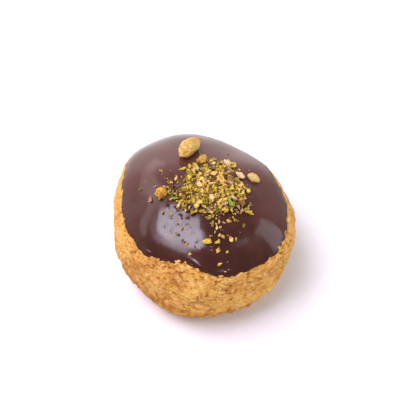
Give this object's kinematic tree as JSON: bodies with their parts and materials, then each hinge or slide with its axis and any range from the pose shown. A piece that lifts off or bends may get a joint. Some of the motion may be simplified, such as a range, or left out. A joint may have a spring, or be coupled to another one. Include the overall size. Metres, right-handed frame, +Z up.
{
  "type": "danish pastry",
  "caption": "Round baked bun with a golden crackled crust and flat foot, a smooth dark chocolate icing cap and chopped green-gold nuts scattered over the top.",
  "frame": {"origin": "middle of the bounding box, on the ground under the foot", "axes": "+Z up out of the icing, -Y towards the front, where the icing reaches lowest, +X to the right seen from the front"},
  "size_m": [0.0876, 0.0912, 0.0653],
  "materials": {
    "crust": "golden baked crust, dry and finely pitted",
    "icing": "set dark chocolate icing, glossy, with chopped nuts stuck in it",
    "nut_kernel": "toasted kernel, waxy",
    "nut_chunk": "toasted nut, broken",
    "nut_half": "toasted kernel, cut",
    "nut_shard": "toasted nut, broken"
  },
  "bodies": {
    "root": {"bun": "crust", "icing": "icing", "nut_kernel": "nut_kernel", "nut_chunk": "nut_chunk", "nut_half": "nut_half", "nut_shard": "nut_shard"}
  },
  "joints": []
}
